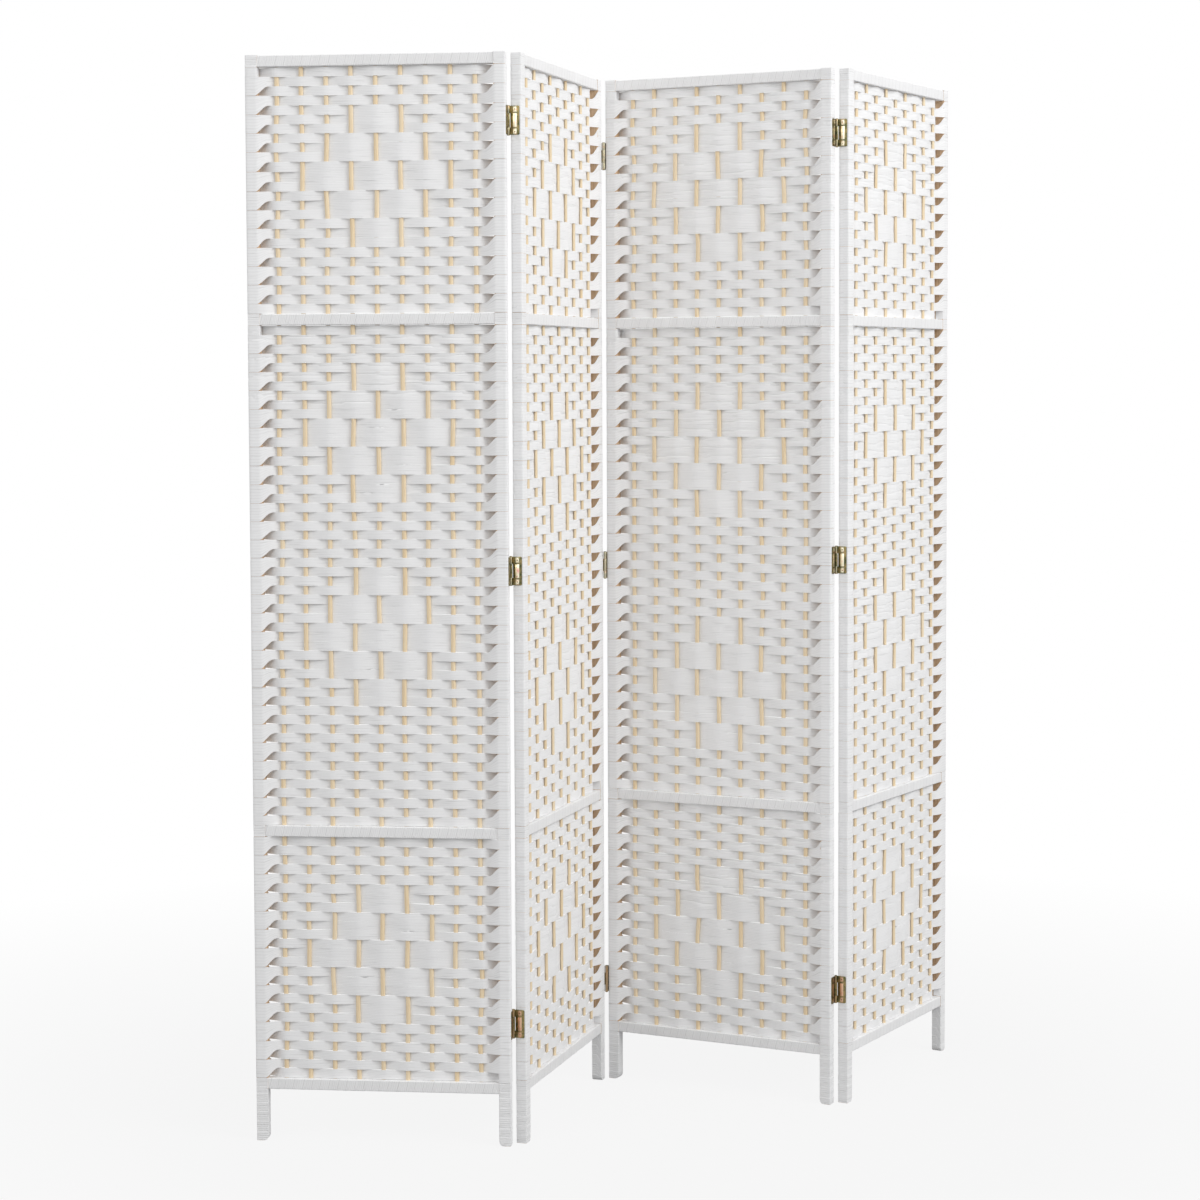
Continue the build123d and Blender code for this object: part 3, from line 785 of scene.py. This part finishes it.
def strip_turn(wood, pitch, lift, askew):
    """One turn round wood of this height and depth, wound along X."""
    half_tall, half_deep = [size / 2 + STRIP_FIT for size in wood]
    loss = STRIP_CREASE * CORNER_LOSS
    tall, deep = half_tall - loss, half_deep - loss
    folds = (3 * tall + 2 * deep, tall + 2 * deep, tall, -tall)
    low, high = -tall - deep, 3 * (tall + deep)
    bpy.ops.mesh.primitive_plane_add(size=1, rotation=(math.pi / 2, 0, 0))
    bpy.ops.object.transform_apply(location=False, rotation=True, scale=False)
    bpy.ops.object.mode_set(mode="EDIT")
    bpy.ops.transform.resize(value=(pitch * OVERLAP, 1, high - low))
    bpy.ops.transform.translate(value=(pitch * OVERLAP / 2, -half_deep, (high + low) / 2))
    cut_at([line + way * STRIP_CREASE for line in folds for way in (-1, 1)], (0, 0, 1))
    push(lambda place: place.z > high - TINY, (pitch, 0, 0), high - low if askew else deep)
    choose_paper(lambda across, up: across > 0.5)
    bpy.ops.transform.translate(value=(0, -lift, 0))
    for line in folds:
        way = 1 if line > 0 else -1
        for crease in (line + way * STRIP_CREASE, line - way * STRIP_CREASE):
            choose_paper(lambda across, up: way * (low + up * (high - low) - crease) > TINY)
            bpy.ops.transform.rotate(
                value=way * math.pi / 4, orient_axis="X", center_override=(0, -half_deep, crease)
            )
    bpy.ops.object.mode_set(mode="OBJECT")
    turn = bpy.context.object
    stretch_uv(turn.data, pitch * OVERLAP, high - low)
    mesh = turn.data
    bpy.data.objects.remove(turn)
    return mesh


def stretch_uv(mesh, width, length):
    """Give a strip's UV map its real size, with U along the strip."""
    layer = mesh.uv_layers.active.data
    uv = np.empty(len(layer) * 2)
    layer.foreach_get("uv", uv)
    across, along = uv.reshape(-1, 2).T
    uv = np.column_stack((along * length, across * width))
    layer.foreach_set("uv", uv.ravel())


# %% A strip wound on a length of wood
def wound_strip(wood, pitch, askew, ends, generator):
    """Strip wound on wood of this height and depth, along X from one end to the other."""
    (low, high), turns = ends, []
    count = math.ceil((high - low) / pitch) + 3
    for index in range(count):
        lift = STRIP_LIFTS[generator.choice(3, p=(0.45, 0.35, 0.2))]
        kind = (wood, pitch, lift, askew)
        if kind not in turn_kinds:
            turn_kinds[kind] = strip_turn(*kind)
        mesh = turn_kinds[kind].copy()
        mesh.transform(Matrix.Translation((low + (index - 2) * pitch, 0, 0)))
        shade = mesh.attributes.new("shade", "FLOAT", "POINT")
        shade.data.foreach_set("value", np.full(len(mesh.vertices), generator.uniform(0, 1), np.float32))
        turn = bpy.data.objects.new("turn", mesh)
        bpy.context.collection.objects.link(turn)
        turns.append(turn)
    piece = only(*turns)
    bpy.ops.object.join()
    places = points_of(piece.data)
    wave = waves(generator, 5, 0.12, 5 * MM)
    places[:, 0] += wave(places[:, 0])
    set_points(piece.data, places)
    bpy.ops.object.mode_set(mode="EDIT")
    for end, way in ((low, -1), (high, 1)):
        bpy.ops.mesh.select_all(action="SELECT")
        bpy.ops.mesh.bisect(plane_co=(end, 0, 0), plane_no=(way, 0, 0), clear_outer=True)
    bpy.ops.object.mode_set(mode="OBJECT")
    return piece


# %% Ends of the strip, feet and post tops
def upright(piece, edge):
    """Stand a strip wound along X upright on the post at an edge, its seam towards the panel."""
    piece.data.transform(Matrix.Rotation(-math.pi / 2, 4, "Y"))
    if edge == RIGHT:
        piece.data.transform(Matrix.Rotation(math.pi, 4, "Z"))
    piece.data.transform(Matrix.Translation((edge * (POST_INNER + POST_WIDTH / 2), 0, 0)))
    return piece


def clear_beyond(piece, place, direction):
    """Cut away what lies beyond a plane."""
    only(piece)
    bpy.ops.object.mode_set(mode="EDIT")
    bpy.ops.mesh.select_all(action="SELECT")
    bpy.ops.mesh.bisect(plane_co=place, plane_no=direction, clear_outer=True)
    bpy.ops.object.mode_set(mode="OBJECT")
    return piece


def round_foot(leg, edge):
    """Draw the paper in where the foot's inner edge is rounded, and cut it level above the floor."""
    only(leg)
    bpy.ops.object.mode_set(mode="EDIT")
    cut_at([step * 1.5 * MM for step in range(-3, 7)], (0, 0, 1))
    bpy.ops.object.mode_set(mode="OBJECT")
    places = points_of(leg.data)
    radius = FOOT_ROUNDING + STRIP_FIT
    across = edge * places[:, 0] - POST_INNER - FOOT_ROUNDING
    up = places[:, 2] - FOOT_ROUNDING
    reach = np.hypot(across, up)
    outside = (across < 0) & (up < 0) & (reach > radius)
    share = np.where(outside, radius / np.maximum(reach, TINY), 1)
    places[:, 0] += edge * across * (share - 1)
    places[:, 2] += up * (share - 1)
    set_points(leg.data, places)
    return clear_beyond(leg, (0, 0, FOOT_BARE), (0, 0, -1))


def post_cap(edge):
    """Paper over the top end of a post, its four sides turned down a little."""
    size = (POST_WIDTH + 1 * MM, POST_DEPTH + 1 * MM)
    middle = (edge * (POST_INNER + POST_WIDTH / 2), 0, PANEL_HEIGHT)
    bpy.ops.mesh.primitive_plane_add(size=1, location=middle)
    bpy.ops.object.transform_apply()
    bpy.ops.object.mode_set(mode="EDIT")
    bpy.ops.transform.resize(value=(*size, 1), center_override=middle)
    bpy.ops.mesh.inset(thickness=0.6 * MM)
    bpy.ops.transform.translate(value=(0, 0, 0.3 * MM))
    bpy.ops.object.mode_set(mode="OBJECT")
    cap = bpy.context.object
    stretch_uv(cap.data, *size)
    return cap


# %% Wound strips of a panel
def wound_pieces(panel):
    """Everything on a panel that is wound with the narrower strip, as one piece."""
    generator = np.random.default_rng(500 + panel)
    rail, post = (RAIL_HEIGHT, RAIL_DEPTH), (POST_WIDTH, POST_DEPTH)
    inner = POST_INNER + 0.1 * MM
    strips = []
    for level in rail_levels.values():
        strip = wound_strip(rail, RAIL_TURN, True, (-inner, inner), generator)
        strip.data.transform(Matrix.Translation((0, 0, level + RAIL_OVERALL / 2)))
        strips.append(strip)
        for edge in (LEFT, RIGHT):
            ends = (level, level + RAIL_OVERALL)
            strip = upright(wound_strip(post, LEG_TURN, False, ends, generator), edge)
            strips.append(clear_beyond(strip, (edge * inner, 0, 0), (-edge, 0, 0)))
    for edge in (LEFT, RIGHT):
        leg = upright(wound_strip(post, LEG_TURN, False, (-5 * MM, LEG_HEIGHT), generator), edge)
        strips += [round_foot(leg, edge), post_cap(edge)]
    piece = only(*strips)
    bpy.ops.object.join()
    apply_modifier(piece, "SOLIDIFY", thickness=STRIP_THICKNESS, offset=1)
    bpy.ops.object.shade_smooth_by_angle(angle=math.radians(40))
    return piece


for panel in PLACES:
    piece = wound_pieces(panel)
    settle(piece, f"panel_{panel}_strip", panel, f"panel_{panel}_wraps", STRIP_PAPER)
    print(piece.name, triangles(piece), "triangles")

# %% [markdown]
# ## Hinges
# Each hinge has two pressed leaves. A leaf is a plate with rounded far corners, a long ridge pressed
# out of its middle, two countersunk holes, and one or two tabs that are rolled into barrels round
# the pin. It is modelled once with one barrel and once with two, for a right edge, and mirrored. How
# much painted highlight, over some wear, each place gets goes with the mesh as an attribute, and the finish
# reads it.

# %% Picking edges and faces
def choose_parts(kind, test):
    """In edit mode, select the edges or faces that pass a test of their points' places."""
    bpy.ops.mesh.select_mode(type=kind)
    bpy.ops.mesh.select_all(action="DESELECT")
    mesh = bpy.context.edit_object.data
    shape = bmesh.from_edit_mesh(mesh)
    for part in shape.edges if kind == "EDGE" else shape.faces:
        part.select_set(test([point.co for point in part.verts]))
    bmesh.update_edit_mesh(mesh)


# %% Sizes of a hinge
LEAF_THICKNESS = 1.0 * MM
LEAF_FACE = HALF_WIDTH + LEAF_THICKNESS
LEAF_EDGE = 8.7 * MM
LEAF_WIDTH = 14.7 * MM
LEAF_MIDDLE = LEAF_EDGE - LEAF_WIDTH / 2
HINGE_HEIGHT = 44.5 * MM
PIN_PLACE = (204.7 * MM, 11.7 * MM)
KNUCKLE_RADIUS = 2.5 * MM
SCREW_SPREAD = 34.0 * MM
ONE_KNUCKLE = ((-10.55 * MM, 10.55 * MM),)
TWO_KNUCKLES = ((-22.25 * MM, -10.85 * MM), (10.85 * MM, 22.25 * MM))
print("leaf", HINGE_HEIGHT / MM, "by", LEAF_WIDTH / MM, "mm")


# %% One leaf
def leaf_kind(knuckles):
    """Mesh of a leaf for a right edge, with its barrels at the back and its middle at height 0."""
    middle = Vector((HALF_WIDTH + LEAF_THICKNESS / 2, LEAF_MIDDLE, 0))
    bpy.ops.mesh.primitive_cube_add(size=1, location=middle)
    bpy.ops.object.transform_apply()
    leaf = bpy.context.object
    bpy.ops.object.mode_set(mode="EDIT")
    bpy.ops.transform.resize(value=(LEAF_THICKNESS, LEAF_WIDTH, HINGE_HEIGHT), center_override=middle)
    choose_parts(
        "EDGE", lambda ends: max(end.y for end in ends) < LEAF_MIDDLE and abs(ends[0].z - ends[1].z) < TINY
    )
    bpy.ops.mesh.bevel(offset=2.2 * MM, segments=4, affect="EDGES")
    bpy.ops.mesh.select_mode(type="VERT")
    cut_at([LEAF_MIDDLE + way * MM for way in (-3.4, -2.6, 2.6, 3.4)], (0, 1, 0))
    cut_at([way * MM for way in (-11.2, -10.2, 10.2, 11.2)], (0, 0, 1))
    cut_at([level for knuckle in knuckles for level in knuckle if abs(level) < 20 * MM], (0, 0, 1))
    half = (2.7 * MM, 10.3 * MM)
    push(
        lambda p: p.x > LEAF_FACE - TINY and abs(p.y - LEAF_MIDDLE) < half[0] and abs(p.z) < half[1],
        (0.3 * MM, 0, 0),
    )
    for low, high in knuckles:
        choose_parts(
            "FACE", lambda ends: all(e.y > LEAF_EDGE - TINY and low - TINY < e.z < high + TINY for e in ends)
        )
        bpy.ops.mesh.extrude_region_move(TRANSFORM_OT_translate={"value": (0, 2.0 * MM, 0)})
    bpy.ops.mesh.select_mode(type="VERT")
    bpy.ops.object.mode_set(mode="OBJECT")
    for end in (-1, 1):
        place = (LEAF_FACE - 0.5 * MM, LEAF_MIDDLE, end * SCREW_SPREAD / 2)
        turn = (0, math.pi / 2, 0)
        bpy.ops.mesh.primitive_cone_add(
            vertices=24, radius1=1.2 * MM, radius2=3.0 * MM, depth=1.4 * MM, location=place, rotation=turn
        )
        cutter = bpy.context.object
        apply_modifier(leaf, "BOOLEAN", operation="DIFFERENCE", object=cutter, solver="EXACT")
        bpy.data.objects.remove(cutter)
    barrels = []
    for low, high in knuckles:
        place = (*PIN_PLACE, (low + high) / 2)
        bpy.ops.mesh.primitive_cylinder_add(
            vertices=20, radius=KNUCKLE_RADIUS, depth=high - low, location=place
        )
        bpy.ops.object.transform_apply()
        barrels.append(bpy.context.object)
    only(leaf, *barrels)
    bpy.ops.object.join()
    corners = {"limit_method": "ANGLE", "angle_limit": math.radians(50)}
    apply_modifier(leaf, "BEVEL", width=0.18 * MM, segments=2, **corners)
    bpy.ops.object.shade_smooth_by_angle(angle=math.radians(35))
    places = points_of(leaf.data)
    across, up = places[:, 1] - LEAF_MIDDLE, np.abs(places[:, 2])
    # Painted highlight over some wear: brighter on the pressed ridge, round the screws and on the barrels.
    wear_and_highlight = np.where((np.abs(across) < 2.9 * MM) & (up < 10.6 * MM), 1.0, 0.1)
    wear_and_highlight = np.maximum(wear_and_highlight, np.where(np.hypot(across, up - SCREW_SPREAD / 2) < 3.2 * MM, 0.75, 0))
    wear_and_highlight = np.maximum(wear_and_highlight, np.where(places[:, 1] > LEAF_EDGE + MM, 0.4, 0))
    leaf.data.attributes.new("wear_and_highlight", "FLOAT", "POINT").data.foreach_set("value", wear_and_highlight.astype(np.float32))
    mesh = leaf.data
    bpy.data.objects.remove(leaf)
    return mesh


# %% One screw head
def screw_kind():
    """Mesh of a countersunk screw head with a cross recess, for a right edge, at height 0."""
    place = (LEAF_FACE - 0.5 * MM, LEAF_MIDDLE, 0)
    turn = (0, math.pi / 2, 0)
    bpy.ops.mesh.primitive_cone_add(
        vertices=24, radius1=1.5 * MM, radius2=2.6 * MM, depth=0.9 * MM, location=place, rotation=turn
    )
    bpy.ops.object.transform_apply()
    screw = bpy.context.object
    face = LEAF_FACE - 0.05 * MM
    bpy.ops.object.mode_set(mode="EDIT")
    choose_parts("FACE", lambda ends: all(end.x > face - TINY for end in ends))
    bpy.ops.mesh.inset(thickness=0.5 * MM)
    bpy.ops.transform.translate(value=(0.12 * MM, 0, 0))
    bpy.ops.mesh.inset(thickness=0.7 * MM)
    bpy.ops.transform.translate(value=(0.06 * MM, 0, 0))
    bpy.ops.mesh.select_mode(type="VERT")
    bpy.ops.object.mode_set(mode="OBJECT")
    for size in ((1.2, 0.7, 3.0), (1.2, 3.0, 0.7)):
        bpy.ops.mesh.primitive_cube_add(size=MM, location=(LEAF_FACE + 0.1 * MM, LEAF_MIDDLE, 0), scale=size)
        cutter = bpy.context.object
        apply_modifier(screw, "BOOLEAN", operation="DIFFERENCE", object=cutter, solver="EXACT")
        bpy.data.objects.remove(cutter)
    only(screw)
    bpy.ops.object.shade_smooth_by_angle(angle=math.radians(35))
    # Painted highlight over some wear on the top of the screw head.
    wear_and_highlight = np.where(points_of(screw.data)[:, 0] > face - TINY, 0.9, 0.0)
    screw.data.attributes.new("wear_and_highlight", "FLOAT", "POINT").data.foreach_set("value", wear_and_highlight.astype(np.float32))
    mesh = screw.data
    bpy.data.objects.remove(screw)
    return mesh


# %% [markdown]
# ## Hanging the hinges
# The barrels lie at the back, at the front and at the back again, so that the screen folds flat as a
# zigzag. The heights are those of the real hinges, in millimetres above the floor.

# %% Hinges on the panels
BARREL_SIDES = (BACK, FRONT, BACK)
HINGE_HEIGHTS = ((190, 902, 1597), (173, 884, 1574), (190, 902, 1597))


def mirrored(mesh, edge, side, heights):
    """One piece from copies of a mesh, for an edge, a barrel side and some heights."""
    copies = []
    for height in heights:
        copy = mesh.copy()
        copy.transform(Matrix.Translation((0, 0, height)) @ Matrix.Diagonal((edge, side, 1, 1)))
        if edge * side < 0:
            copy.flip_normals()
        piece = bpy.data.objects.new("copy", copy)
        bpy.context.collection.objects.link(piece)
        copies.append(piece)
    piece = only(*copies)
    bpy.ops.object.join()
    return piece


one_barrel, two_barrels, screw = leaf_kind(ONE_KNUCKLE), leaf_kind(TWO_KNUCKLES), screw_kind()
screws = {panel: [] for panel in PLACES}
for left, side, heights in zip((1, 2, 3), BARREL_SIDES, HINGE_HEIGHTS):
    heights = [height * MM for height in heights]
    screw_heights = [height + end * SCREW_SPREAD / 2 for height in heights for end in (-1, 1)]
    leaves = ((left, RIGHT, "left", one_barrel), (left + 1, LEFT, "right", two_barrels))
    for panel, edge, hand, mesh in leaves:
        piece = mirrored(mesh, edge, side, heights)
        pair = f"fold_{left}_{left + 1}_{hand}"
        settle(piece, f"{pair}_pressed_leaves", panel, f"{pair}_leaves", ZINC)
        screws[panel].append(mirrored(screw, edge, side, screw_heights))
        print(piece.name, triangles(piece), "triangles")
for panel, heads in screws.items():
    piece = only(*heads)
    if len(heads) > 1:
        bpy.ops.object.join()
    settle(piece, f"panel_{panel}_screw_heads", panel, f"panel_{panel}_hinge_screws", ZINC)

# %% [markdown]
# ## Posts, rails and pins
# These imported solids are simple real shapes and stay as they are. They only get their finish.

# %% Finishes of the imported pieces
for name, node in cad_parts.items():
    if name.endswith(("post", "rail", "pins")):
        node.data.materials.clear()
        node.data.materials.append(ZINC if name.endswith("pins") else WOOD)

# %% [markdown]
# ## Camera
# The camera stands a little over four metres in front, at 1.2 m, and looks along the room at
# 25 degrees to the screen's own row. The photograph's upright lines hardly lean together, as with a
# shifted lens. A third of such a shift, with a small pitch, comes within a few pixels of all the
# corners and keeps the whole screen in the frame when the camera is moved to another side.

# %% Camera
FRAME_PIXELS = 1200
FOCAL_PIXELS = 2620.5
CENTRE_HEIGHT = 530  # pixels from the top of the photograph
CAMERA_PLACE = (-1.8829, -3.8646, 1.1958)
CAMERA_HEADING = math.radians(25.18)
CAMERA_PITCH = math.radians(3.25)
CAMERA_ROLL = math.radians(-0.22)
camera_data = bpy.data.cameras.new("camera")
camera = bpy.data.objects.new("camera", camera_data)
bpy.context.scene.collection.objects.link(camera)
bpy.context.scene.camera = camera
camera_data.sensor_width = 36
camera_data.lens = 36 * FOCAL_PIXELS / FRAME_PIXELS
camera_data.shift_y = CENTRE_HEIGHT / FRAME_PIXELS - 0.5
camera.location = CAMERA_PLACE
turns = ((-CAMERA_HEADING, "Z"), (math.pi / 2 - CAMERA_PITCH, "X"), (CAMERA_ROLL, "Z"))
heading, level, roll = [Matrix.Rotation(turn, 3, axis) for turn, axis in turns]
camera.rotation_euler = (heading @ level @ roll).to_euler()
print("lens", round(camera_data.lens, 2))

# %% [markdown]
# ## Floor and light
# The studio is a pale floor under an even white sky, with a broad soft lamp to the right and a weak
# one to the left, so that paper renders about as it is written. Rays from the camera and from mirrors
# see the sky and the far floor as white, and near the screen the floor keeps a little of its shadow.

# %% Floor and light
bpy.ops.mesh.primitive_plane_add(size=60, location=(0, 0, 0))
floor = bpy.context.object
floor.name = "floor"


def seen(finish):
    """1 for rays from the camera and from mirrors, and 0 for the rays that light the screen."""
    camera_ray = finish.add("ShaderNodeLightPath", {}, {}, "Is Camera Ray")
    mirror_ray = finish.add("ShaderNodeLightPath", {}, {}, "Is Glossy Ray")
    return (camera_ray + mirror_ray).between(0, 1)


finish = Finish("floor")
place = finish.add("ShaderNodeTexCoord", {}, {}, "Object")
distance = finish.add("ShaderNodeVectorMath", {"operation": "LENGTH"}, {0: place}, "Value")
share = (distance.between(0.7, 2.2) * 0.12 + 0.88) * seen(finish)
matt = finish.add("ShaderNodeBsdfDiffuse", {}, {"Color": (0.35, 0.35, 0.35, 1)})
glow = finish.add("ShaderNodeEmission", {}, {"Color": (1, 1, 1, 1), "Strength": 1.0})
floor.data.materials.append(finish.show(finish.add("ShaderNodeMixShader", {}, {0: share, 1: matt, 2: glow})))

WORLD_LEVEL = 0.69
finish = Finish("studio", bpy.data.worlds)
soft, white = [
    finish.add("ShaderNodeBackground", {}, {"Color": (1, 1, 1, 1), "Strength": level})
    for level in (WORLD_LEVEL, 1.0)
]
mix = finish.add("ShaderNodeMixShader", {}, {0: seen(finish), 1: soft, 2: white})
bpy.context.scene.world = finish.show(mix, "ShaderNodeOutputWorld")


def soft_light(name, side, height, distance, size, power):
    """Round soft light at an angle to the right of the camera, aimed at the screen."""
    angle = -CAMERA_HEADING + math.radians(side)
    data = bpy.data.lights.new(name, "AREA")
    data.shape, data.size, data.energy = "DISK", size, power
    light = bpy.data.objects.new(name, data)
    bpy.context.scene.collection.objects.link(light)
    light.location = (distance * math.sin(angle), -distance * math.cos(angle), height)
    light.rotation_euler = (Vector((0, 0, 1.1)) - light.location).to_track_quat("-Z", "Y").to_euler()


soft_light("key", 54, 3.3, 3.7, 2.8, 98)
soft_light("fill", -35, 2.6, 3.7, 2.8, 23)
print("sky", WORLD_LEVEL, "and two soft lamps")

bpy.context.scene.view_settings.view_transform = "Standard"
